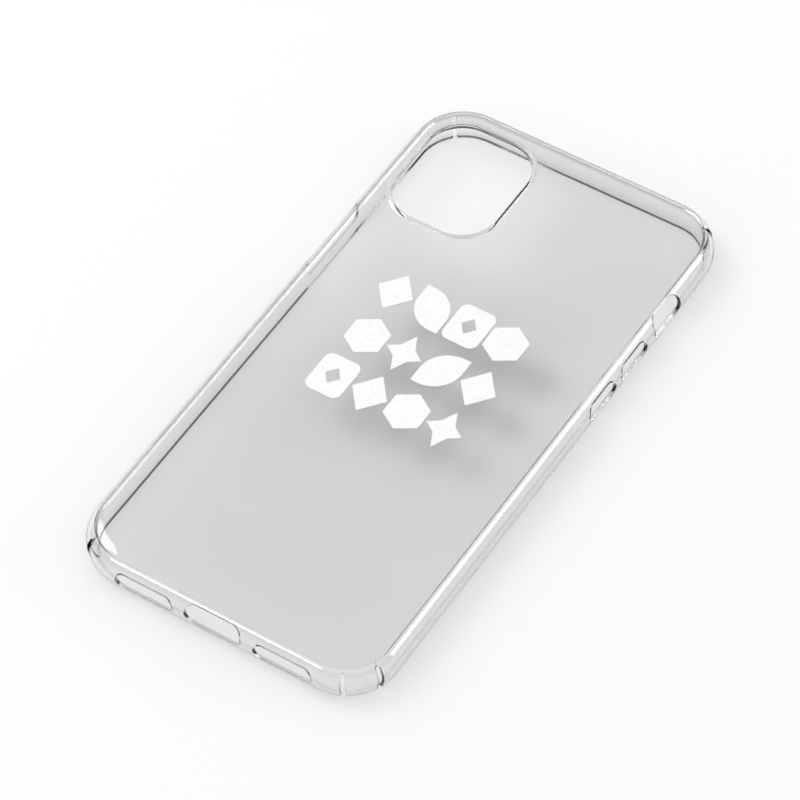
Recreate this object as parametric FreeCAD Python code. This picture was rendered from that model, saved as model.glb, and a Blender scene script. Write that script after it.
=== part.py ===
import FreeCAD, Part
import math
import os

from FreeCAD import Vector

# A clear hard phone case lying on its rim, back panel up.
# X runs across the case, Y along it towards the camera end, Z up from the rim. Millimetres.

# The phone that the case fits
PHONE_WIDTH = 75.7
PHONE_LENGTH = 150.9
PHONE_THICKNESS = 8.3

# Walls
WALL = 0.9
CLEARANCE = 0.05
RIM_PAST_SCREEN = 0.3
CORNER_RADIUS = 13.1
RIM_TUCK = 1.4                      # how far the rim's outer edge sits inside the widest line

# Whole case
WIDTH = PHONE_WIDTH + 2 * (WALL + CLEARANCE)
LENGTH = PHONE_LENGTH + 2 * (WALL + CLEARANCE)
BACK_OUTER_Z = RIM_PAST_SCREEN + PHONE_THICKNESS + WALL
BACK_INNER_Z = BACK_OUTER_Z - WALL
WIDEST_Z = RIM_PAST_SCREEN + PHONE_THICKNESS / 2

# The wall's section is two arcs that meet at the widest line, each with its centre at that height
SHOULDER_RADIUS = BACK_OUTER_Z - WIDEST_Z
TUCK_RADIUS = (RIM_TUCK ** 2 + WIDEST_Z ** 2) / (2 * RIM_TUCK)

# Splits: panel to frame along a sloping seam, frame to movable walls at one level
SEAM_INSET = 2.35
SPLIT_Z = 7.4

# Slits at the corners, as angles round the corner arc from the end wall's direction
SLIT_WIDTH = 1.1
SLIT_ANGLES = {"top_right": (47.0,), "top_left": (42.0,), "bottom_left": (40.0,), "bottom_right": (28.5, 66.0)}

# Openings in the walls: centre along the wall, half length, lowest and highest level, corner radius
PORT = (0.0, 7.0, 2.4, 7.8, 2.5)
SPEAKER_OFFSET = 17.65
SPEAKER = (7.2, 2.0, 6.4, 2.0)
SWITCH_WINDOW = (46.6, 5.2, 2.2, 8.3, 2.2)
VOLUME_UP = (32.2, 5.2, 2.6, 6.9, 2.0)
VOLUME_DOWN = (18.9, 5.2, 2.6, 6.9, 2.0)
SIDE_BUTTON = (26.85, 10.75, 2.4, 7.9, 2.2)

# Camera window and its raised lip
WINDOW_CENTRE = Vector(-19.95, 54.0, 0)
WINDOW_HALF_X = 13.15
WINDOW_HALF_Y = 15.5
WINDOW_RADIUS = 9.0
LIP_WIDTH = 1.3
LIP_HEIGHT = 0.5
LIP_ROUND = 0.35

# Printed marks on the back
INK_THICKNESS = 0.1
MARK_WIDTH = 9.0
MARK_HEIGHT = 11.0
MARK_PITCH = 9.6
ROW_CENTRES = {"top": (-0.4, 18.3), "middle": (1.1, 4.45), "bottom": (0.85, -9.0)}
TILE_RADIUS = 2.0
TILE_HOLE = 0.22                    # half the hole's width as a share of the mark's

CUT_DEPTH = 8.0                     # how far a wall cutter reaches either side of the wall
CORNER_X = WIDTH / 2 - CORNER_RADIUS
CORNER_Y = LENGTH / 2 - CORNER_RADIUS
# Corner name: (sign of x, sign of y)
CORNERS = {"top_right": (1, 1), "top_left": (-1, 1), "bottom_left": (-1, -1), "bottom_right": (1, -1)}


def section_point(arc_radius, thickness, z):
    """Point of the wall's section: x is minus the inset from the widest outline."""
    reach = arc_radius - thickness
    return Vector(math.sqrt(reach ** 2 - (z - WIDEST_Z) ** 2) - arc_radius, 0, z)


def section_arc(arc_radius, thickness, z_from, z_to):
    """Arc of the wall's section between two levels, on the outer face or inside it."""
    ends = [section_point(arc_radius, thickness, z) for z in (z_from, (z_from + z_to) / 2, z_to)]
    return Part.Arc(*ends).toShape()


def seam_point(thickness):
    """End of the sloping seam on the outer face, or on the inner face at the wall's thickness."""
    slope = math.acos((SHOULDER_RADIUS - SEAM_INSET) / SHOULDER_RADIUS)
    reach = SHOULDER_RADIUS - thickness
    return Vector(reach * math.cos(slope) - SHOULDER_RADIUS, 0, WIDEST_Z + reach * math.sin(slope))


def line(start, end):
    return Part.LineSegment(start, end).toShape()


def closed_face(edges):
    return Part.Face(Part.Wire(Part.__sortEdges__(edges)))


def wall_section():
    """Rim up to the split level."""
    return closed_face([
        section_arc(TUCK_RADIUS, 0, 0, WIDEST_Z),
        section_arc(SHOULDER_RADIUS, 0, WIDEST_Z, SPLIT_Z),
        line(section_point(SHOULDER_RADIUS, 0, SPLIT_Z), section_point(SHOULDER_RADIUS, WALL, SPLIT_Z)),
        section_arc(SHOULDER_RADIUS, WALL, SPLIT_Z, WIDEST_Z),
        section_arc(TUCK_RADIUS, WALL, WIDEST_Z, 0),
        line(section_point(TUCK_RADIUS, WALL, 0), section_point(TUCK_RADIUS, 0, 0)),
    ])


def shoulder_section():
    """Split level up to the seam."""
    outer, inner = seam_point(0), seam_point(WALL)
    return closed_face([
        section_arc(SHOULDER_RADIUS, 0, SPLIT_Z, outer.z),
        line(outer, inner),
        section_arc(SHOULDER_RADIUS, WALL, inner.z, SPLIT_Z),
        line(section_point(SHOULDER_RADIUS, WALL, SPLIT_Z), section_point(SHOULDER_RADIUS, 0, SPLIT_Z)),
    ])


def panel_edge_section():
    """Seam up to where the back turns flat."""
    outer, inner = seam_point(0), seam_point(WALL)
    flat_outer = Vector(-SHOULDER_RADIUS, 0, BACK_OUTER_Z)
    flat_inner = Vector(-SHOULDER_RADIUS, 0, BACK_INNER_Z)
    return closed_face([
        section_arc(SHOULDER_RADIUS, 0, outer.z, BACK_OUTER_Z),
        line(flat_outer, flat_inner),
        section_arc(SHOULDER_RADIUS, WALL, BACK_INNER_Z, inner.z),
        line(inner, outer),
    ])


def swept_round(section):
    """Section carried round the case: four straight runs and four quarter turns, fused."""
    solids = []
    runs = [(0, WIDTH / 2, CORNER_Y), (90, LENGTH / 2, CORNER_X),
            (180, WIDTH / 2, CORNER_Y), (270, LENGTH / 2, CORNER_X)]
    for angle, reach, half_run in runs:
        run = section.copy()
        run.translate(Vector(reach, -half_run, 0))
        run = run.extrude(Vector(0, 2 * half_run, 0))
        run.rotate(Vector(), Vector(0, 0, 1), angle)
        solids.append(run)
    for quarter, (sign_x, sign_y) in enumerate(CORNERS.values()):
        turn = section.copy()
        turn.translate(Vector(CORNER_RADIUS, 0, 0))
        turn = turn.revolve(Vector(), Vector(0, 0, 1), 90)
        turn.rotate(Vector(), Vector(0, 0, 1), 90 * quarter)
        turn.translate(Vector(sign_x * CORNER_X, sign_y * CORNER_Y, 0))
        solids.append(turn)
    return solids[0].fuse(solids[1:]).removeSplitter()


def rounded_rectangle(half_u, half_v, radius):
    """Face in the XY plane, centred on the origin."""
    points = []
    for quarter in range(4):
        sign_u, sign_v = ((1, 1), (-1, 1), (-1, -1), (1, -1))[quarter]
        centre = Vector(sign_u * (half_u - radius), sign_v * (half_v - radius), 0)
        for step in range(3):
            turn = math.radians(90 * quarter + 45 * step)
            points.append(centre + Vector(radius * math.cos(turn), radius * math.sin(turn), 0))
    edges = []
    for first in range(0, 12, 3):
        edges.append(Part.Arc(*points[first:first + 3]).toShape())
        start, end = points[first + 2], points[(first + 3) % 12]
        if start.distanceToPoint(end) > 1e-6:
            edges.append(line(start, end))
    return closed_face(edges)


def wall_cutter(direction, along, half_length, z_low, z_high, radius):
    """Prism through a wall. direction is the wall's outward angle, along its place on that wall."""
    reach = WIDTH / 2 if direction % 180 == 0 else LENGTH / 2
    cutter = rounded_rectangle(half_length, (z_high - z_low) / 2, radius)
    cutter = cutter.extrude(Vector(0, 0, 2 * CUT_DEPTH))
    cutter.rotate(Vector(), Vector(1, 0, 0), 90)
    cutter.rotate(Vector(), Vector(0, 0, 1), 90)
    cutter.translate(Vector(reach - CUT_DEPTH, 0, (z_low + z_high) / 2))
    cutter.rotate(Vector(), Vector(0, 0, 1), direction)
    shift = Vector(0, along, 0) if direction % 180 == 0 else Vector(along, 0, 0)
    cutter.translate(shift)
    return cutter


def wall_openings():
    cutters = [wall_cutter(0, *SWITCH_WINDOW), wall_cutter(0, *VOLUME_UP), wall_cutter(0, *VOLUME_DOWN)]
    cutters.append(wall_cutter(180, *SIDE_BUTTON))
    cutters.append(wall_cutter(270, *PORT))
    for side in (-1, 1):
        cutters.append(wall_cutter(270, side * SPEAKER_OFFSET, *SPEAKER))
    return cutters


def slit_cutter(corner, angle):
    """Round-topped slot from below the rim, lying along the radius of a corner's arc."""
    sign_x, sign_y = CORNERS[corner]
    inner, outer = CORNER_RADIUS - CUT_DEPTH, CORNER_RADIUS + CUT_DEPTH
    slot = Part.makeBox(outer - inner, SLIT_WIDTH, SPLIT_Z + 1, Vector(inner, -SLIT_WIDTH / 2, -1))
    top = Part.makeCylinder(SLIT_WIDTH / 2, outer - inner, Vector(inner, 0, SPLIT_Z), Vector(1, 0, 0))
    slot = slot.fuse(top)
    turn = math.degrees(math.atan2(sign_y * math.cos(math.radians(angle)),
                                   sign_x * math.sin(math.radians(angle))))
    slot.rotate(Vector(), Vector(0, 0, 1), turn)
    slot.translate(Vector(sign_x * CORNER_X, sign_y * CORNER_Y, 0))
    return slot


def slits():
    return [slit_cutter(corner, angle) for corner, angles in SLIT_ANGLES.items() for angle in angles]


def only_solid(shape):
    if len(shape.Solids) != 1:
        raise ValueError("expected one solid, got %d" % len(shape.Solids))
    return shape.Solids[0]


def back_panel():
    """Hard plate with a rounded edge, the camera window and the lip round it."""
    flat = rounded_rectangle(WIDTH / 2 - SHOULDER_RADIUS, LENGTH / 2 - SHOULDER_RADIUS,
                             CORNER_RADIUS - SHOULDER_RADIUS)
    flat.translate(Vector(0, 0, BACK_INNER_Z))
    panel = flat.extrude(Vector(0, 0, WALL)).fuse(swept_round(panel_edge_section()))
    lip = rounded_rectangle(WINDOW_HALF_X + LIP_WIDTH, WINDOW_HALF_Y + LIP_WIDTH, WINDOW_RADIUS + LIP_WIDTH)
    lip = lip.extrude(Vector(0, 0, WALL + LIP_HEIGHT))
    top_edges = [edge for edge in lip.Edges if edge.BoundBox.ZMin > WALL]
    lip = lip.makeFillet(LIP_ROUND, top_edges)
    window = rounded_rectangle(WINDOW_HALF_X, WINDOW_HALF_Y, WINDOW_RADIUS)
    window = window.extrude(Vector(0, 0, 2 * WALL + LIP_HEIGHT))
    lip.translate(WINDOW_CENTRE + Vector(0, 0, BACK_INNER_Z))
    window.translate(WINDOW_CENTRE + Vector(0, 0, BACK_INNER_Z - WALL / 2))
    panel = panel.fuse(lip).removeSplitter().cut([window] + wall_openings())
    return only_solid(panel)


def shoulder_frame():
    """Fixed ring between the panel's seam and the movable walls."""
    return only_solid(swept_round(shoulder_section()).cut(wall_openings() + slits()))


def movable_walls():
    """The lower frame, divided by the slits, as node name to solid."""
    lower = swept_round(wall_section()).cut(wall_openings() + slits())
    if len(lower.Solids) != 5:
        raise ValueError("expected five walls, got %d" % len(lower.Solids))
    walls = {}
    for solid in lower.Solids:
        centre = solid.CenterOfMass
        if solid.BoundBox.DiagonalLength < 2 * CORNER_RADIUS:
            walls["corner_tab"] = solid
        elif abs(centre.x) > CORNER_X:
            walls["right_wall" if centre.x > 0 else "left_wall"] = solid
        else:
            walls["top_wall" if centre.y > 0 else "bottom_wall"] = solid
    return walls


def polygon(points):
    corners = [Vector(x, y, 0) for x, y in points]
    return Part.Face(Part.makePolygon(corners + corners[:1]))


def diamond():
    return polygon([(MARK_WIDTH / 2, 0), (0, MARK_HEIGHT / 2), (-MARK_WIDTH / 2, 0), (0, -MARK_HEIGHT / 2)])


def hexagon():
    half_flat = MARK_HEIGHT / 4
    return polygon([(MARK_WIDTH / 2, half_flat), (0, MARK_HEIGHT / 2), (-MARK_WIDTH / 2, half_flat),
                    (-MARK_WIDTH / 2, -half_flat), (0, -MARK_HEIGHT / 2), (MARK_WIDTH / 2, -half_flat)])


def star():
    """Four long points with a waist between them."""
    waist = MARK_WIDTH / 5
    return polygon([(MARK_WIDTH / 2, 0), (waist, waist), (0, MARK_HEIGHT / 2), (-waist, waist),
                    (-MARK_WIDTH / 2, 0), (-waist, -waist), (0, -MARK_HEIGHT / 2), (waist, -waist)])


def leaf(lean):
    """Two opposite corners square, the other two fully rounded. lean is 1 or -1."""
    half_x, half_y, radius = MARK_WIDTH / 2, MARK_HEIGHT / 2, MARK_WIDTH * 0.8
    side = math.sin(math.radians(45)) * radius
    edges = []
    for sign in (1, -1):
        centre = Vector(sign * lean * (half_x - radius), sign * (half_y - radius), 0)
        round_x = Vector(sign * lean * half_x, sign * (half_y - radius), 0)
        round_y = Vector(sign * lean * (half_x - radius), sign * half_y, 0)
        middle = centre + Vector(sign * lean * side, sign * side, 0)
        edges.append(Part.Arc(round_x, middle, round_y).toShape())
        square = Vector(-sign * lean * half_x, sign * half_y, 0)
        edges.append(line(round_y, square))
        edges.append(line(square, Vector(-sign * lean * half_x, -sign * (half_y - radius), 0)))
    return closed_face(edges)


def tile():
    """Soft-cornered tile with a diamond left open in its middle."""
    hole_x, hole_y = MARK_WIDTH * TILE_HOLE, MARK_HEIGHT * TILE_HOLE
    hole = polygon([(hole_x, 0), (0, hole_y), (-hole_x, 0), (0, -hole_y)])
    return rounded_rectangle(MARK_WIDTH / 2, MARK_HEIGHT / 2, TILE_RADIUS).cut(hole).Faces[0]


PRINT_ROWS = {
    "top": [diamond(), leaf(1), tile(), hexagon()],
    "middle": [hexagon(), star(), leaf(-1), diamond()],
    "bottom": [tile(), diamond(), hexagon(), star()],
}


def print_row(name):
    """One row of ink marks on the flat of the back."""
    row_x, row_y = ROW_CENTRES[name]
    solids = []
    for column, face in enumerate(PRINT_ROWS[name]):
        mark = face.extrude(Vector(0, 0, INK_THICKNESS))
        mark.translate(Vector(row_x + (column - 1.5) * MARK_PITCH, row_y, BACK_OUTER_Z))
        solids.append(mark)
    return Part.makeCompound(solids)


def all_nodes():
    nodes = {"back_panel": back_panel(), "shoulder_frame": shoulder_frame()}
    nodes.update(movable_walls())
    for name in PRINT_ROWS:
        nodes["print_row_" + name] = print_row(name)
    return nodes


os.makedirs("parts", exist_ok=True)
for node_name, shape in all_nodes().items():
    if not shape.isValid():
        raise ValueError(node_name + " is not a valid shape")
    shape.exportStep("parts/" + node_name + ".step")
    print("%-18s %8.1f mm3  %d solid(s)" % (node_name, shape.Volume, len(shape.Solids)))
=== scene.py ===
"""Looks of the clear clip-on phone case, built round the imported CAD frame."""

import math

import bmesh
import bpy
import numpy as np
from mathutils import Matrix, Vector
from mathutils.geometry import delaunay_2d_cdt


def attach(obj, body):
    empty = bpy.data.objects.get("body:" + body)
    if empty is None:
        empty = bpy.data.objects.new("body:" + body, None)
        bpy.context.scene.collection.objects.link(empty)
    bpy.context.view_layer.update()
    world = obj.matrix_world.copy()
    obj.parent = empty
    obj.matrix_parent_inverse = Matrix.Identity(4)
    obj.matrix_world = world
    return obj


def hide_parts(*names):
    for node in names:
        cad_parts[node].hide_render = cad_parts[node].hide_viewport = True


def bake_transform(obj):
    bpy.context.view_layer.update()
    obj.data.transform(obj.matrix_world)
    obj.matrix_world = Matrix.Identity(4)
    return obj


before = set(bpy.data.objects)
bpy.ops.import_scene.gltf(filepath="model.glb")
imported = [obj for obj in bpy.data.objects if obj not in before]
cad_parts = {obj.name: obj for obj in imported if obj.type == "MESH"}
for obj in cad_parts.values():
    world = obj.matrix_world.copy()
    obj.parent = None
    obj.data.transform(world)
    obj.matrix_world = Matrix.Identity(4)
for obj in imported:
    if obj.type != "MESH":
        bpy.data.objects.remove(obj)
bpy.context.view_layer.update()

MM = 0.001
TINY = 1e-9                         # guards comparisons and square roots
SAME_PLACE = 1e-6                   # points closer than this are one point
RIGHT_ANGLE = math.pi / 2
# Signs of x and y in the four quarters, anticlockwise seen from above
QUARTERS = ((1, 1), (-1, 1), (-1, -1), (1, -1))

# Case, in millimetres, as in the CAD
HALF_X, HALF_Y = 38.8, 76.4
CORNER_R = 13.1
WIDEST_Z = 4.45
SHOULDER_R = 5.05
TUCK_R = 7.8589
WALL = 0.9
BACK_Z = 9.5
SEAM_INSET = 2.35
CORNER_X, CORNER_Y = HALF_X - CORNER_R, HALF_Y - CORNER_R
SEAM_SLOPE = math.acos((SHOULDER_R - SEAM_INSET) / SHOULDER_R)
SEAM_Z = WIDEST_Z + SHOULDER_R * math.sin(SEAM_SLOPE)
SEAM_INNER_Z = WIDEST_Z + (SHOULDER_R - WALL) * math.sin(SEAM_SLOPE)
SEAM_GAP = 0.05                     # how far each side's edge stands back from the seam
KNEE_Z = 6.0                        # above it a cut leans, to come out below the seam on the inside

# Slits: half width, and the level where the half-round top starts
SLIT_HALF = 0.55
SPLIT_Z = 7.4

# Windows: wall, centre along the wall, half length, low and high level, corner radius
WINDOWS = [
    ("bottom_wall", 0.0, 7.0, 2.4, 7.8, 2.5),
    ("bottom_wall", -17.65, 7.2, 2.0, 6.4, 2.0),
    ("bottom_wall", 17.65, 7.2, 2.0, 6.4, 2.0),
    ("right_wall", 46.6, 5.2, 2.2, 8.3, 2.2),
    ("right_wall", 32.2, 5.2, 2.6, 6.9, 2.0),
    ("right_wall", 18.9, 5.2, 2.6, 6.9, 2.0),
    ("left_wall", 26.85, 10.75, 2.4, 7.9, 2.2),
]

# Camera window and the lip round it
WINDOW_X, WINDOW_Y = -19.95, 54.0
WINDOW_HALF_X, WINDOW_HALF_Y, WINDOW_R = 13.15, 15.5, 9.0
LIP_WIDTH, LIP_HEIGHT = 1.3, 0.5
LIP_SLOPE = 1.0                     # run of its outer side
LIP_FOOT_SHARE = 0.4                # share of that run that is hollow, the rest being its shoulder
LIP_INNER_R, LIP_LOWER_R = 0.2, 0.12  # rounding of the window's upper and lower edge

# Edges
EDGE = 0.22                         # rounding of slit, window and rim edges
FINE_EDGE = 0.13                    # rounding at the seam
CAP_EDGE = 0.04                     # rounding where two stretches meet above a slit
CAP_GAP = 0.012                     # how far each stretch stands back from that joint
RIM_CORNER_R = 0.45                 # corner where a slit's side meets the rim

# Mesh
ROW_STEP = 0.42                     # rows up the wall
RUN_STEP, TURN_STEP = 3.0, 0.9      # columns along straights and round corners
BESIDE_STEP, BESIDE = 0.6, 0.6      # columns above and below a window, and how far they go past it
HOLE_STEP = 1.2                     # points along a window's edge
WALL_CLEAR, BACK_CLEAR = 0.2, 0.1   # a mesh point this close to an outline is left out
LONG_EDGE, COLUMN_CLEAR = 2.0, 0.3  # level edges that take the columns' points, away from their ends
SLIT_ROWS = 16                      # rows up a slit's side
RIM_STEPS, CAP_STEPS = 5, 6         # steps round a slit's corner at the rim and its half-round top
EDGE_RINGS = 10                     # rings over the back plate's rounded edge
EDGE_START = 1.0                    # how far past the flat they start, to leave room for the lip's foot
HOLE_STEPS, CAMERA_STEPS = 8, 14    # steps round a corner of a window in a wall and in the back
FOOT_STEPS, SHOULDER_STEPS = 6, 8   # steps up the lip's outer side
INNER_STEPS, LOWER_STEPS = 5, 4     # steps round the window's upper and lower edge


# ---------------------------------------------------------------- the wall's surface
# along runs round the outline in millimetres at its widest line, anticlockwise seen from above, from
# the middle of the right side. level is the height on the outer face, depth the distance below it.

TURN = CORNER_R * math.pi / 2
# Where each straight and corner starts, straights at even numbers and corners at odd ones. The right
# side is in two halves, the first and the last.
STARTS = [0.0, CORNER_Y, CORNER_Y + TURN, CORNER_Y + TURN + 2 * CORNER_X,
          CORNER_Y + 2 * TURN + 2 * CORNER_X, 3 * CORNER_Y + 2 * TURN + 2 * CORNER_X,
          3 * CORNER_Y + 3 * TURN + 2 * CORNER_X, 3 * CORNER_Y + 3 * TURN + 4 * CORNER_X,
          3 * CORNER_Y + 4 * TURN + 4 * CORNER_X]
ROUND = 4 * CORNER_Y + 4 * TURN + 4 * CORNER_X


def outline(along):
    """Point on the widest line and the outward direction there."""
    along = along % ROUND
    stretch = max(i for i, start in enumerate(STARTS) if start <= along + TINY)
    run = along - STARTS[stretch]
    if stretch == 0:
        return (HALF_X, run), (1, 0)
    if stretch == 2:
        return (CORNER_X - run, HALF_Y), (0, 1)
    if stretch == 4:
        return (-HALF_X, CORNER_Y - run), (-1, 0)
    if stretch == 6:
        return (-CORNER_X + run, -HALF_Y), (0, -1)
    if stretch == 8:
        return (HALF_X, run - CORNER_Y), (1, 0)
    quarter = (stretch - 1) // 2
    sign_x, sign_y = QUARTERS[quarter]
    angle = math.radians(90 * quarter) + run / CORNER_R
    facing = (math.cos(angle), math.sin(angle))
    return (sign_x * CORNER_X + CORNER_R * facing[0], sign_y * CORNER_Y + CORNER_R * facing[1]), facing


def inner_level(level):
    """Level on the inner face where a cut from this level on the outer face comes out."""
    if level <= KNEE_Z:
        return level
    return KNEE_Z + (level - KNEE_Z) * (SEAM_INNER_Z - KNEE_Z) / (SEAM_Z - KNEE_Z)


def wall_point(along, level, depth):
    """Position and outward normal of a point in the wall."""
    z = level + (inner_level(level) - level) * depth / WALL
    radius = SHOULDER_R if z >= WIDEST_Z else TUCK_R
    height = z - WIDEST_Z
    flat = math.sqrt(max((radius - depth) ** 2 - height * height, TINY))
    inset = radius - flat
    (x, y), (out_x, out_y) = outline(along)
    normal = np.array([out_x * flat, out_y * flat, height]) / (radius - depth)
    return np.array([x - inset * out_x, y - inset * out_y, z]), normal


def slit_place(quarter, angle):
    """Where on the outline a slit lies. angle is measured in degrees from the end wall's direction."""
    turn = math.radians(90 - angle if quarter in (0, 2) else angle)
    return STARTS[1 + 2 * quarter] + CORNER_R * turn


SLITS = {
    "top_right": slit_place(0, 47.0),
    "top_left": slit_place(1, 42.0),
    "bottom_left": slit_place(2, 40.0),
    "tab_bottom": slit_place(3, 28.5),
    "tab_right": slit_place(3, 66.0),
}
# Wall: its first and last slit going round anticlockwise
SECTORS = {
    "right_wall": ("tab_right", "top_right"),
    "top_wall": ("top_right", "top_left"),
    "left_wall": ("top_left", "bottom_left"),
    "bottom_wall": ("bottom_left", "tab_bottom"),
    "corner_tab": ("tab_bottom", "tab_right"),
}
# Middle of each wall that has windows, and the outline's direction there along X or Y
MIDDLES = {
    "right_wall": (0.0, 1),
    "left_wall": ((STARTS[4] + STARTS[5]) / 2, -1),
    "bottom_wall": ((STARTS[6] + STARTS[7]) / 2, 1),
}


# ---------------------------------------------------------------- flat outlines

def arc(x, y, radius, first, last, steps):
    """Points round a centre between two angles in degrees."""
    angles = [math.radians(first + (last - first) * i / steps) for i in range(steps + 1)]
    return [(x + radius * math.cos(angle), y + radius * math.sin(angle)) for angle in angles]


def spread(points, step):
    """The closed loop with extra points on its long edges."""
    out = []
    for i, here in enumerate(points):
        there = points[(i + 1) % len(points)]
        run_x, run_y = there[0] - here[0], there[1] - here[1]
        count = max(1, math.ceil(math.hypot(run_x, run_y) / step))
        out += [(here[0] + run_x * k / count, here[1] + run_y * k / count) for k in range(count)]
    return out


def rounded(x, y, half_x, half_y, radius):
    """Anticlockwise rounded rectangle."""
    points = []
    for quarter, (sign_x, sign_y) in enumerate(QUARTERS):
        corner_x, corner_y = x + sign_x * (half_x - radius), y + sign_y * (half_y - radius)
        points += arc(corner_x, corner_y, radius, 90 * quarter, 90 * quarter + 90, HOLE_STEPS)
    return [point for i, point in enumerate(points) if math.dist(point, points[i - 1]) > SAME_PLACE]


def miters(points):
    """For each point of an anticlockwise loop, the inward step that offsets the loop by 1."""
    steps = []
    for i, here in enumerate(points):
        before, after = points[i - 1], points[(i + 1) % len(points)]
        arriving = np.array([here[0] - before[0], here[1] - before[1]])
        leaving = np.array([after[0] - here[0], after[1] - here[1]])
        arriving, leaving = arriving / np.linalg.norm(arriving), leaving / np.linalg.norm(leaving)
        left_before = np.array([-arriving[1], arriving[0]])
        left_after = np.array([-leaving[1], leaving[0]])
        middle = left_before + left_after
        middle /= np.linalg.norm(middle)
        shortest = 0.5              # stops the step from running away at a sharp corner
        steps.append(middle / max(shortest, float(middle @ left_before)))
    return steps


def inside(points, loop):
    """For each point, whether it lies inside the loop."""
    point, end = np.array(points, float).reshape(-1, 1, 2), np.array(loop, float)
    start = np.roll(end, 1, axis=0)
    spans = (start[:, 1] > point[:, :, 1]) != (end[:, 1] > point[:, :, 1])
    rise = np.where(start[:, 1] == end[:, 1], 1.0, end[:, 1] - start[:, 1])
    crossing = start[:, 0] + (end[:, 0] - start[:, 0]) * (point[:, :, 1] - start[:, 1]) / rise
    return (np.sum(spans & (point[:, :, 0] < crossing), axis=1) % 2).astype(bool)


def clearance(points, loop):
    """For each point, its distance to the loop's line."""
    point, end = np.array(points, float).reshape(-1, 1, 2), np.array(loop, float)
    start = np.roll(end, 1, axis=0)
    run = end - start
    share = np.clip(np.sum((point - start) * run, axis=2) / np.sum(run * run, axis=1), 0, 1)
    return np.min(np.linalg.norm(start + run * share[:, :, None] - point, axis=2), axis=1)


def fill(loops, extra):
    """Triangles between an outer loop and holes, over the loops' points and the extra ones.
    Returns the faces as indices into the loops' points joined, then extra."""
    points, edges = [], []
    for loop in loops:
        start, count = len(points), len(loop)
        points += loop
        edges += [(start + i, start + (i + 1) % count) for i in range(count)]
    points += extra
    flat = [Vector(point) for point in points]
    convex_hull, tolerance = 0, 1e-7
    found, _, faces, origins, _, _ = delaunay_2d_cdt(flat, edges, [], convex_hull, tolerance)
    source = [origin[0] if origin else None for origin in origins]
    if None in source:
        raise ValueError("the outline crosses itself")
    middles = [(sum(found[i].x for i in face) / 3, sum(found[i].y for i in face) / 3) for face in faces]
    keep = inside(middles, loops[0])
    for hole in loops[1:]:
        keep &= ~inside(middles, hole)
    return [[source[i] for i in face] for face, kept in zip(faces, keep) if kept]


def bands(starts, count):
    """Faces between closed rings of points, each ring given by the index of its first point."""
    faces = []
    for low, high in zip(starts, starts[1:]):
        faces += [(low + i, low + (i + 1) % count, high + (i + 1) % count, high + i) for i in range(count)]
    return faces


def mesh_object(name, points, faces, normals):
    """Smooth object from points in millimetres, with a normal for each."""
    mesh = bpy.data.meshes.new(name)
    mesh.from_pydata([tuple(part * MM for part in point) for point in points], [], faces)
    form = bmesh.new()
    form.from_mesh(mesh)
    bmesh.ops.recalc_face_normals(form, faces=form.faces)
    form.to_mesh(mesh)
    form.free()
    mesh.shade_smooth()
    mesh.normals_split_custom_set_from_vertices([tuple(normal) for normal in normals])
    mesh.validate()
    mesh.update()
    piece = bpy.data.objects.new(name, mesh)
    bpy.context.scene.collection.objects.link(piece)
    return piece


# ---------------------------------------------------------------- wall pieces

# Rounding of an edge, from the face to the cut: offset from the cut, depth, turn of the normal.
# Offset and depth are shares of the rounding's radius.
ROUNDING = [(1 - math.sin(turn), 1 - math.cos(turn), turn)
            for turn in (math.radians(degrees) for degrees in (0, 30, 60, 90))]


def wall_outline(first, last):
    """Anticlockwise loop from one slit to the next, and the rounding at each of its points."""
    top = SEAM_Z - SEAM_GAP
    cap = SPLIT_Z + SLIT_HALF
    corner = RIM_CORNER_R
    points, widths = [], []

    def add(new, width):
        for point in new:
            if not points or math.dist(point, points[-1]) > SAME_PLACE:
                points.append(point)
                widths.append(width)

    add(arc(first + SLIT_HALF + corner, corner, corner, 180, 270, RIM_STEPS), EDGE)
    add(arc(last - SLIT_HALF - corner, corner, corner, 270, 360, RIM_STEPS), EDGE)
    climb = [corner + (SPLIT_Z - corner) * k / SLIT_ROWS for k in range(1, SLIT_ROWS)]
    add([(last - SLIT_HALF, level) for level in climb], EDGE)
    # A slit's arc stops 10 degrees short of its crown, where this stretch meets its neighbour
    add(arc(last, SPLIT_Z, SLIT_HALF, 180, 100, CAP_STEPS), EDGE)
    add([(last - CAP_GAP, cap)], CAP_EDGE)
    add([(last - CAP_GAP, top), (first + CAP_GAP, top)], FINE_EDGE)
    add([(first + CAP_GAP, cap)], CAP_EDGE)
    add(arc(first, SPLIT_Z, SLIT_HALF, 80, 0, CAP_STEPS), EDGE)
    add([(first + SLIT_HALF, level) for level in reversed(climb)], EDGE)
    return points, widths


def columns():
    """Mesh columns over two turns of the outline, denser round the corners."""
    found = []
    for turn in (0, 1):
        for stretch, (start, end) in enumerate(zip(STARTS, STARTS[1:] + [ROUND])):
            step = TURN_STEP if stretch % 2 else RUN_STEP
            count = max(1, round((end - start) / step))
            found += [turn * ROUND + start + (end - start) * i / count for i in range(count)]
    return found


COLUMNS = columns()


def with_columns(points, widths):
    """The loop with the mesh columns' points added along its level edges, rounding carried along."""
    new_points, new_widths = [], []
    for i, (here, width) in enumerate(zip(points, widths)):
        after = (i + 1) % len(points)
        there = points[after]
        low, high = min(here[0], there[0]), max(here[0], there[0])
        stations = []
        if abs(here[1] - there[1]) < TINY and high - low > LONG_EDGE:
            stations = [along for along in COLUMNS if low + COLUMN_CLEAR < along < high - COLUMN_CLEAR]
            if there[0] < here[0]:
                stations = stations[::-1]
        new_points += [here] + [(along, here[1]) for along in stations]
        new_widths += [width] + [min(width, widths[after])] * len(stations)
    return new_points, new_widths


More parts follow.
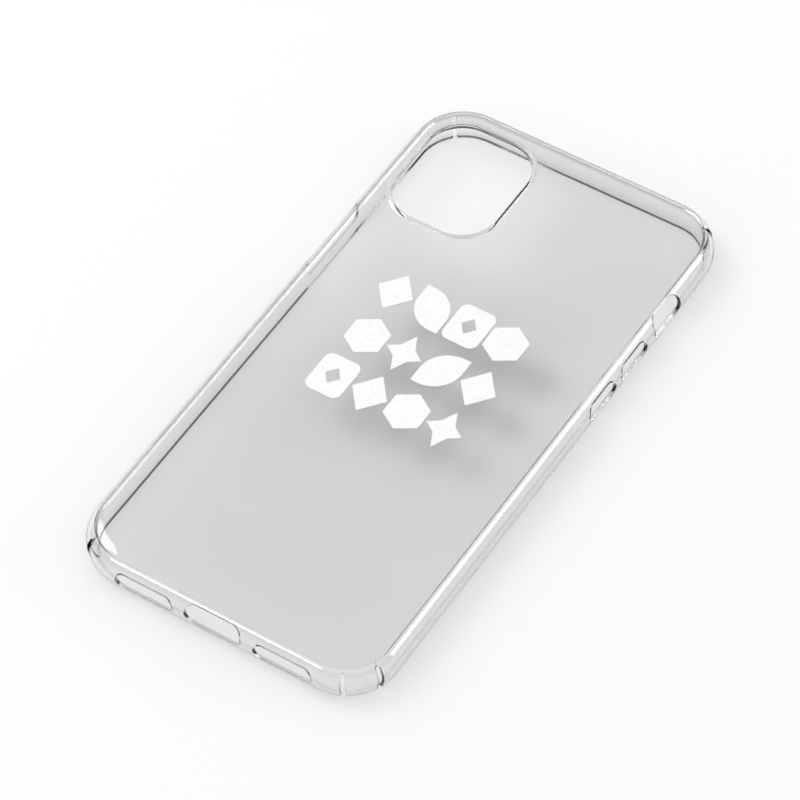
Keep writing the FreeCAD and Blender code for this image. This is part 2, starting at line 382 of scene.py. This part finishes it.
def wall_windows(name, start):
    """Centre on the outline, half length and edge loop of each window in a wall."""
    found = []
    for wall, along, half, low, high, radius in WINDOWS:
        if wall == name:
            middle, sense = MIDDLES[name]
            centre = middle + sense * along
            centre += ROUND if centre < start else 0
            hole = rounded(centre, (low + high) / 2, half, (high - low) / 2, radius)
            found.append((centre, half, spread(hole, HOLE_STEP)))
    return found


def cut_normal(along, level, depth, inward, face_normal, turn):
    """Normal on a rounded cut edge. inward points into the material, turn leans it towards the cut."""
    step = 1e-3
    place = wall_point(along, level, depth)[0]
    out = wall_point(along - inward[0] * step, level - inward[1] * step, depth)[0] - place
    beside = wall_point(along - inward[1] * step, level + inward[0] * step, depth)[0] - place
    deeper = wall_point(along, level, depth + step)[0] - place
    cut = np.cross(beside, deeper)
    cut *= (1 if cut @ out > 0 else -1) / np.linalg.norm(cut)
    normal = face_normal * math.cos(turn) + cut * math.sin(turn)
    return normal / np.linalg.norm(normal)


def wall_piece(name):
    """One stretch of the frame between two slits, from the seam down to the rim, as a closed mesh."""
    first, last = SECTORS[name]
    start = SLITS[first]
    end = SLITS[last] + (ROUND if SLITS[last] < start else 0)
    base, base_widths = with_columns(*wall_outline(start, end))
    loops, widths, inward = [base], [base_widths], [miters(base)]
    stations = [along for along in COLUMNS if start < along < end]
    for centre, half, hole in wall_windows(name, start):
        loops.append(hole)
        widths.append([EDGE] * len(hole))
        inward.append([-step for step in miters(hole)])
        reach = half + BESIDE
        stations = [along for along in stations if abs(along - centre) > reach + BESIDE_STEP / 2]
        count = round(2 * reach / BESIDE_STEP)
        stations += [centre - reach + 2 * reach * k / count for k in range(count + 1)]

    # The rounded edges, from the outer face through each cut to the inner face
    points, normals, faces, rings, edges = [], [], [], [], []
    layers = [(True, *row) for row in ROUNDING] + [(False, *row) for row in reversed(ROUNDING)]
    for loop, loop_widths, steps in zip(loops, widths, inward):
        ring = []
        for outer, offset, sink, turn in layers:
            ring.append(len(points))
            for (along, level), width, step in zip(loop, loop_widths, steps):
                place = (along + step[0] * offset * width, level + step[1] * offset * width,
                         sink * width if outer else WALL - sink * width)
                point, normal = wall_point(*place)
                direction = step / np.linalg.norm(step)
                points.append(point)
                normals.append(cut_normal(*place, direction, normal if outer else -normal, turn))
        rings.append(ring)
        faces += bands(ring, len(loop))
        edges.append([(along + step[0] * width, level + step[1] * width)
                      for (along, level), step, width in zip(loop, steps, loop_widths)])

    # The two faces between those edges
    rows = round(SEAM_Z / ROW_STEP)
    grid = [(along, SEAM_Z * k / rows) for along in stations for k in range(1, rows)]
    keep = inside(grid, edges[0])
    for hole in edges[1:]:
        keep &= ~inside(grid, hole)
    for loop in edges:
        keep &= clearance(grid, loop) > WALL_CLEAR
    grid = [point for point, kept in zip(grid, keep) if kept]
    triangles = fill(edges, grid)
    for outer, layer in ((True, 0), (False, -1)):
        where = [ring[layer] + i for ring, loop in zip(rings, edges) for i in range(len(loop))]
        for along, level in grid:
            point, normal = wall_point(along, level, 0 if outer else WALL)
            where.append(len(points))
            points.append(point)
            normals.append(normal if outer else -normal)
        faces += [tuple(where[i] for i in triangle) for triangle in triangles]
    return mesh_object(name + "_moulding", points, faces, normals)


# ---------------------------------------------------------------- back panel

def back_surface(x, y):
    """Level and normal of the back's outer face at x, y."""
    past_x, past_y = abs(x) - CORNER_X, abs(y) - CORNER_Y
    if past_x > 0 and past_y > 0:
        reach = math.hypot(past_x, past_y)
        out_x, out_y = past_x / reach, past_y / reach
    else:
        reach = max(past_x, past_y)
        out_x, out_y = (1.0, 0.0) if past_x > past_y else (0.0, 1.0)
    lean = max(0.0, reach - CORNER_R + SHOULDER_R) / SHOULDER_R
    rise = math.sqrt(1 - lean * lean)
    normal = np.array([math.copysign(out_x, x) * lean, math.copysign(out_y, y) * lean, rise])
    return WIDEST_Z + SHOULDER_R * rise, normal


def panel_edge_rings():
    """Radius, angle above the widest line and lean of the normal for each ring of the plate's edge,
    from the outer face round the seam's side to the inner face."""
    inner_r = SHOULDER_R - WALL
    seam = SEAM_SLOPE + SEAM_GAP / SHOULDER_R
    crest = math.acos(EDGE_START / SHOULDER_R)
    outer_run = seam + FINE_EDGE / SHOULDER_R - crest
    rings = [(SHOULDER_R, crest + outer_run * k / EDGE_RINGS, 0.0) for k in range(EDGE_RINGS)]
    for offset, sink, turn in ROUNDING:
        radius = SHOULDER_R - sink * FINE_EDGE
        rings.append((radius, seam + offset * FINE_EDGE / radius, turn))
    for offset, sink, turn in reversed(ROUNDING):
        radius = inner_r + sink * FINE_EDGE
        rings.append((radius, seam + offset * FINE_EDGE / radius, math.pi - turn))
    inner_run = seam - RIGHT_ANGLE
    rings += [(inner_r, RIGHT_ANGLE + inner_run * k / EDGE_RINGS, math.pi)
              for k in reversed(range(EDGE_RINGS))]
    return rings


def turned(offset, z, radius, first, last, steps, sign=1):
    """Arc of the lip's section: offset from the window's edge, level, sideways and upward normal.
    sign is -1 where the section is hollow."""
    out = []
    for k in range(steps + 1):
        angle = first + (last - first) * k / steps
        side, up = math.cos(angle), math.sin(angle)
        out.append((offset + radius * side, z + radius * up, sign * side, sign * up))
    return out


def lip_section():
    """From the lip's foot over its top and down the window's edge to the inner face."""
    top, low = BACK_Z + LIP_HEIGHT, BACK_Z - WALL
    steepest = 2 * math.atan(LIP_HEIGHT / LIP_SLOPE)
    both_radii = LIP_SLOPE / math.sin(steepest)
    foot_r, shoulder_r = LIP_FOOT_SHARE * both_radii, (1 - LIP_FOOT_SHARE) * both_radii
    crest = LIP_WIDTH - LIP_SLOPE
    foot_end, shoulder_start = -RIGHT_ANGLE - steepest, RIGHT_ANGLE - steepest
    section = turned(LIP_WIDTH, BACK_Z + foot_r, foot_r, -RIGHT_ANGLE, foot_end, FOOT_STEPS, -1)
    section += turned(crest, top - shoulder_r, shoulder_r, shoulder_start, RIGHT_ANGLE, SHOULDER_STEPS)[1:]
    section += turned(LIP_INNER_R, top - LIP_INNER_R, LIP_INNER_R, RIGHT_ANGLE, math.pi, INNER_STEPS)
    section += turned(LIP_LOWER_R, low + LIP_LOWER_R, LIP_LOWER_R, math.pi, 3 * RIGHT_ANGLE, LOWER_STEPS)
    return section


def camera_corners():
    """Centre of each corner arc of the camera window, and the directions round it."""
    found = []
    for quarter, (sign_x, sign_y) in enumerate(QUARTERS):
        x = WINDOW_X + sign_x * (WINDOW_HALF_X - WINDOW_R)
        y = WINDOW_Y + sign_y * (WINDOW_HALF_Y - WINDOW_R)
        for k in range(CAMERA_STEPS + 1):
            angle = math.radians(90 * quarter + 90 * k / CAMERA_STEPS)
            found.append((x, y, math.cos(angle), math.sin(angle)))
    return found


def seen_from_above(points, start, count):
    """A ring's points in x and y only."""
    return [tuple(point[:2]) for point in points[start:start + count]]


def panel_piece():
    """Back plate with its rounded edge, camera window and lip, as a closed mesh."""
    stations = [outline(along) for along in COLUMNS if along < ROUND]
    count = len(stations)
    points, normals, rings = [], [], []
    for radius, angle, lean in panel_edge_rings():
        rings.append(len(points))
        inset = SHOULDER_R - radius * math.cos(angle)
        level = WIDEST_Z + radius * math.sin(angle)
        side, up = math.cos(angle - lean), math.sin(angle - lean)
        for (x, y), (out_x, out_y) in stations:
            points.append(np.array([x - inset * out_x, y - inset * out_y, level]))
            normals.append(np.array([out_x * side, out_y * side, up]))
    faces = bands(rings, count)

    corners = camera_corners()
    hole_count = len(corners)
    rims = []
    for offset, z, side, up in lip_section():
        rims.append(len(points))
        reach = WINDOW_R + offset
        for x, y, out_x, out_y in corners:
            points.append(np.array([x + reach * out_x, y + reach * out_y, z]))
            normals.append(np.array([side * out_x, side * out_y, up]))
    faces += bands(rims, hole_count)

    # The lip's foot lies on the back's surface, which is already rounded under its left side
    for i in range(rims[0], rims[0] + hole_count):
        points[i][2], normals[i] = back_surface(points[i][0], points[i][1])
    foot = seen_from_above(points, rims[0], hole_count)
    crest = []
    for inset in (SHOULDER_R - EDGE_START / 2, SHOULDER_R):
        crest += [(x - inset * out_x, y - inset * out_y) for (x, y), (out_x, out_y) in stations]
    keep = ~inside(crest, foot) & (clearance(crest, foot) > BACK_CLEAR)
    crest = [point for point, kept in zip(crest, keep) if kept]
    for ring, rim, extra in ((rings[0], rims[0], crest), (rings[-1], rims[-1], [])):
        loops = [seen_from_above(points, ring, count), seen_from_above(points, rim, hole_count)]
        where = list(range(ring, ring + count)) + list(range(rim, rim + hole_count))
        for x, y in extra:
            z, normal = back_surface(x, y)
            where.append(len(points))
            points.append(np.array([x, y, z]))
            normals.append(normal)
        faces += [tuple(where[i] for i in triangle) for triangle in fill(loops, extra)]
    return mesh_object("back_panel_moulding", points, faces, normals)


# ---------------------------------------------------------------- materials

# Colour sockets of a Mix node
MIX_FIRST, MIX_SECOND, MIX_RESULT = 6, 7, 2
EDGE_ON_PAINTED_SHADE = 0.08                # share of the plastic's colour left where it is seen edge on: painted shade that draws dark edge lines, only a little of it real absorption


def empty_material(name):
    """Material without nodes, with the calls that add a node and link two sockets."""
    mat = bpy.data.materials.new(name)
    mat.use_nodes = True
    tree = mat.node_tree
    tree.nodes.clear()
    return mat, tree.nodes.new, tree.links.new


def noise(new, link, place, scale, detail):
    """Noise texture fixed to the object."""
    texture = new("ShaderNodeTexNoise")
    texture.inputs["Scale"].default_value = scale
    texture.inputs["Detail"].default_value = detail
    link(place.outputs["Object"], texture.inputs["Vector"])
    return texture


def relief(new, link, texture, shader, strength, distance):
    """Fine relief on a shader. distance is in metres."""
    bump = new("ShaderNodeBump")
    bump.inputs["Strength"].default_value = strength
    bump.inputs["Distance"].default_value = distance
    link(texture.outputs["Fac"], bump.inputs["Height"])
    link(bump.outputs["Normal"], shader.inputs["Normal"])


def blend_by_facing(new, link, blend, face_on, edge_on, power=1.0):
    """Colour that changes from face on to edge on. A higher power keeps the change to the edges."""
    facing, raised, mix = new("ShaderNodeLayerWeight"), new("ShaderNodeMath"), new("ShaderNodeMix")
    facing.inputs["Blend"].default_value = blend
    raised.operation = "POWER"
    raised.inputs[1].default_value = power
    mix.data_type = "RGBA"
    mix.inputs[MIX_FIRST].default_value = (*face_on, 1)
    mix.inputs[MIX_SECOND].default_value = (*edge_on, 1)
    link(facing.outputs["Facing"], raised.inputs[0])
    link(raised.outputs[0], mix.inputs[0])
    return mix.outputs[MIX_RESULT]


def clear_plastic(name, tint):
    """Polished clear polycarbonate, its colour painted darker where it is seen edge on. Lamps shine
    through it, a little less at grazing angles.
    """
    mat, new, link = empty_material(name)
    glass, through = new("ShaderNodeBsdfPrincipled"), new("ShaderNodeBsdfTransparent")
    glass.inputs["Transmission Weight"].default_value = 1.0
    glass.inputs["IOR"].default_value = 1.58

    place = new("ShaderNodeTexCoord")
    cloud = noise(new, link, place, scale=60.0, detail=2.0)
    smoothest, roughest = 0.012, 0.03
    rough = new("ShaderNodeMapRange")
    rough.inputs["From Min"].default_value = 0.35
    rough.inputs["From Max"].default_value = 0.7
    rough.inputs["To Min"].default_value = smoothest
    rough.inputs["To Max"].default_value = roughest
    link(cloud.outputs["Fac"], rough.inputs["Value"])
    link(rough.outputs["Result"], glass.inputs["Roughness"])
    fine = noise(new, link, place, scale=900.0, detail=3.0)
    relief(new, link, fine, glass, strength=0.02, distance=0.0001)

    # Painted shade: the colour darkens where a surface turns edge on, drawing dark lines along walls and
    # edges; only a little of it is the real darkening of light that runs further through the plastic
    dark = [part * EDGE_ON_PAINTED_SHADE for part in tint]
    link(blend_by_facing(new, link, 0.5, tint, dark, power=5.0), glass.inputs["Base Color"])

    # Shadow and diffuse rays go straight through, so that the floor under the case stays bright
    pale = [math.sqrt(part) for part in tint]
    link(blend_by_facing(new, link, 0.35, pale, (0.75, 0.75, 0.755)), through.inputs["Color"])
    path, either = new("ShaderNodeLightPath"), new("ShaderNodeMath")
    either.operation = "MAXIMUM"
    link(path.outputs["Is Shadow Ray"], either.inputs[0])
    link(path.outputs["Is Diffuse Ray"], either.inputs[1])
    mix, out = new("ShaderNodeMixShader"), new("ShaderNodeOutputMaterial")
    link(either.outputs[0], mix.inputs[0])
    link(glass.outputs[0], mix.inputs[1])
    link(through.outputs[0], mix.inputs[2])
    link(mix.outputs[0], out.inputs["Surface"])
    return mat


def printed_ink():
    """Opaque white screen print with a fine mesh grain."""
    mat, new, link = empty_material("white_ink")
    ink, out = new("ShaderNodeBsdfPrincipled"), new("ShaderNodeOutputMaterial")
    grain = noise(new, link, new("ShaderNodeTexCoord"), scale=1400.0, detail=4.0)
    shade = new("ShaderNodeValToRGB")
    darkest, lightest = shade.color_ramp.elements
    darkest.position, lightest.position = 0.3, 0.7
    darkest.color = (0.86, 0.86, 0.87, 1)
    lightest.color = (0.93, 0.93, 0.93, 1)
    link(grain.outputs["Fac"], shade.inputs["Fac"])
    link(shade.outputs["Color"], ink.inputs["Base Color"])
    rough = new("ShaderNodeMapRange")
    rough.inputs["To Min"].default_value = 0.38
    rough.inputs["To Max"].default_value = 0.55
    link(grain.outputs["Fac"], rough.inputs["Value"])
    link(rough.outputs["Result"], ink.inputs["Roughness"])
    relief(new, link, grain, ink, strength=0.15, distance=0.00003)
    link(ink.outputs[0], out.inputs["Surface"])
    return mat


def pale_floor():
    """Matt, plain and nearly white."""
    mat = bpy.data.materials.new("pale_floor")
    mat.use_nodes = True
    body = mat.node_tree.nodes["Principled BSDF"]
    body.inputs["Base Color"].default_value = (0.9, 0.9, 0.9, 1)
    body.inputs["Roughness"].default_value = 0.85
    body.inputs["Specular IOR Level"].default_value = 0.1
    return mat


# ---------------------------------------------------------------- pieces

FRAME_CLEAR = clear_plastic("clear_frame", (0.9, 0.9, 0.9))
PANEL_CLEAR = clear_plastic("clear_panel", (0.838, 0.838, 0.838))
INK = printed_ink()

# Each wall and the body its CAD part belongs to. The loop below builds each wall piece in place and does
# not attach it to that body
BODIES = {
    "right_wall": "right_side",
    "left_wall": "left_side",
    "top_wall": "top_end",
    "bottom_wall": "bottom_end",
    "corner_tab": "tab",
}
for name, body in BODIES.items():
    piece = wall_piece(name)
    piece.data.materials.append(FRAME_CLEAR)
    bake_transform(piece)
    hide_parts(name, "shoulder_frame")

panel = panel_piece()
panel.data.materials.append(PANEL_CLEAR)
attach(panel, "shell")
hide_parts("back_panel")

for row in ("top", "middle", "bottom"):
    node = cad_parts["print_row_" + row]
    node.data.materials.clear()
    node.data.materials.append(INK)

# ---------------------------------------------------------------- camera, floor and light

# Where the camera stands round the case, and its lean about its own line of sight
AZIMUTH, ELEVATION, ROLL = math.radians(34.816), math.radians(51.221), math.radians(-2.583)
DISTANCE = 945.8                    # millimetres
LENS, SENSOR = 193.2, 36            # millimetres
AIM_RIGHT, AIM_UP = -1.841, 0.177   # millimetres from the origin in the picture plane

back = Vector((math.sin(AZIMUTH) * math.cos(ELEVATION), -math.cos(AZIMUTH) * math.cos(ELEVATION),
               math.sin(ELEVATION)))
level_right = Vector((0, 0, 1)).cross(back).normalized()
level_up = back.cross(level_right)
right = level_right * math.cos(ROLL) + level_up * math.sin(ROLL)
up = level_up * math.cos(ROLL) - level_right * math.sin(ROLL)
camera = bpy.data.objects.new("camera", bpy.data.cameras.new("camera"))
camera.data.lens = LENS
camera.data.sensor_width = SENSOR
camera.data.clip_end = 50
camera.matrix_world = Matrix((
    (right.x, up.x, back.x, 0), (right.y, up.y, back.y, 0), (right.z, up.z, back.z, 0), (0, 0, 0, 1)))
camera.location = (right * AIM_RIGHT + up * AIM_UP + back * DISTANCE) * MM
bpy.context.scene.collection.objects.link(camera)
bpy.context.scene.camera = camera

FLOOR_HALF = 4.0                    # metres
FLOOR_DROP = 0.02                   # millimetres below the rim, so that the two faces don't meet
ground = bpy.data.meshes.new("floor")
ground.from_pydata([(x * FLOOR_HALF, y * FLOOR_HALF, 0) for x, y in QUARTERS], [], [(0, 1, 2, 3)])
floor = bpy.data.objects.new("floor", ground)
floor.location.z = -FLOOR_DROP * MM
ground.materials.append(pale_floor())
bpy.context.scene.collection.objects.link(floor)


def softbox(name, place, width, height, power, turn=None):
    """Area light at place, aimed at the origin, or facing straight down and turned by turn degrees."""
    lamp = bpy.data.lights.new(name, "AREA")
    lamp.shape = "RECTANGLE"
    lamp.size, lamp.size_y = width, height
    lamp.energy = power
    holder = bpy.data.objects.new(name, lamp)
    holder.location = place
    if turn is None:
        holder.rotation_euler = Vector(place).to_track_quat("Z", "Y").to_euler()
    else:
        holder.rotation_euler = (0, 0, math.radians(turn))
    bpy.context.scene.collection.objects.link(holder)


# Places and sizes in metres, power in watts
softbox("key", (-1.4, -0.1, 1.45), 1.2, 1.2, 15.0)
# Its edge is mirrored across the back as a soft diagonal
softbox("overhead", (-1.07, 1.39, 1.5), 1.6, 1.0, 0.9, turn=47.6)
# Narrow boxes, low down, that draw a bright line along each rounded edge
softbox("strip_right", (0.94, 0.61, 0.38), 0.5, 0.3, 2.4)
softbox("strip_left", (-0.96, 0.61, 0.36), 0.5, 0.1, 1.2)
softbox("strip_front", (-0.43, -0.94, 0.61), 0.5, 0.12, 1.2)

# Bright ceiling and pale horizon, with a dimmer band between them that draws dark lines in clear edges.
# Each stop is the upward part of the direction, and the grey seen there.
SKY = [(0.0, 0.86), (0.1, 0.86), (0.2, 0.22), (0.4, 0.3), (0.6, 0.86)]
world = bpy.data.worlds.new("studio")
world.use_nodes = True
tree = world.node_tree
direction, split = tree.nodes.new("ShaderNodeTexCoord"), tree.nodes.new("ShaderNodeSeparateXYZ")
ramp = tree.nodes.new("ShaderNodeValToRGB")
stops = ramp.color_ramp.elements
stops.remove(stops[1])
for height, grey in SKY:
    stop = stops.new(height) if height > 0 else stops[0]
    stop.color = (grey, grey, grey, 1)
tree.links.new(direction.outputs["Generated"], split.inputs[0])
tree.links.new(split.outputs["Z"], ramp.inputs["Fac"])
tree.links.new(ramp.outputs["Color"], tree.nodes["Background"].inputs["Color"])
bpy.context.scene.world = world
bpy.context.scene.view_settings.view_transform = "Standard"
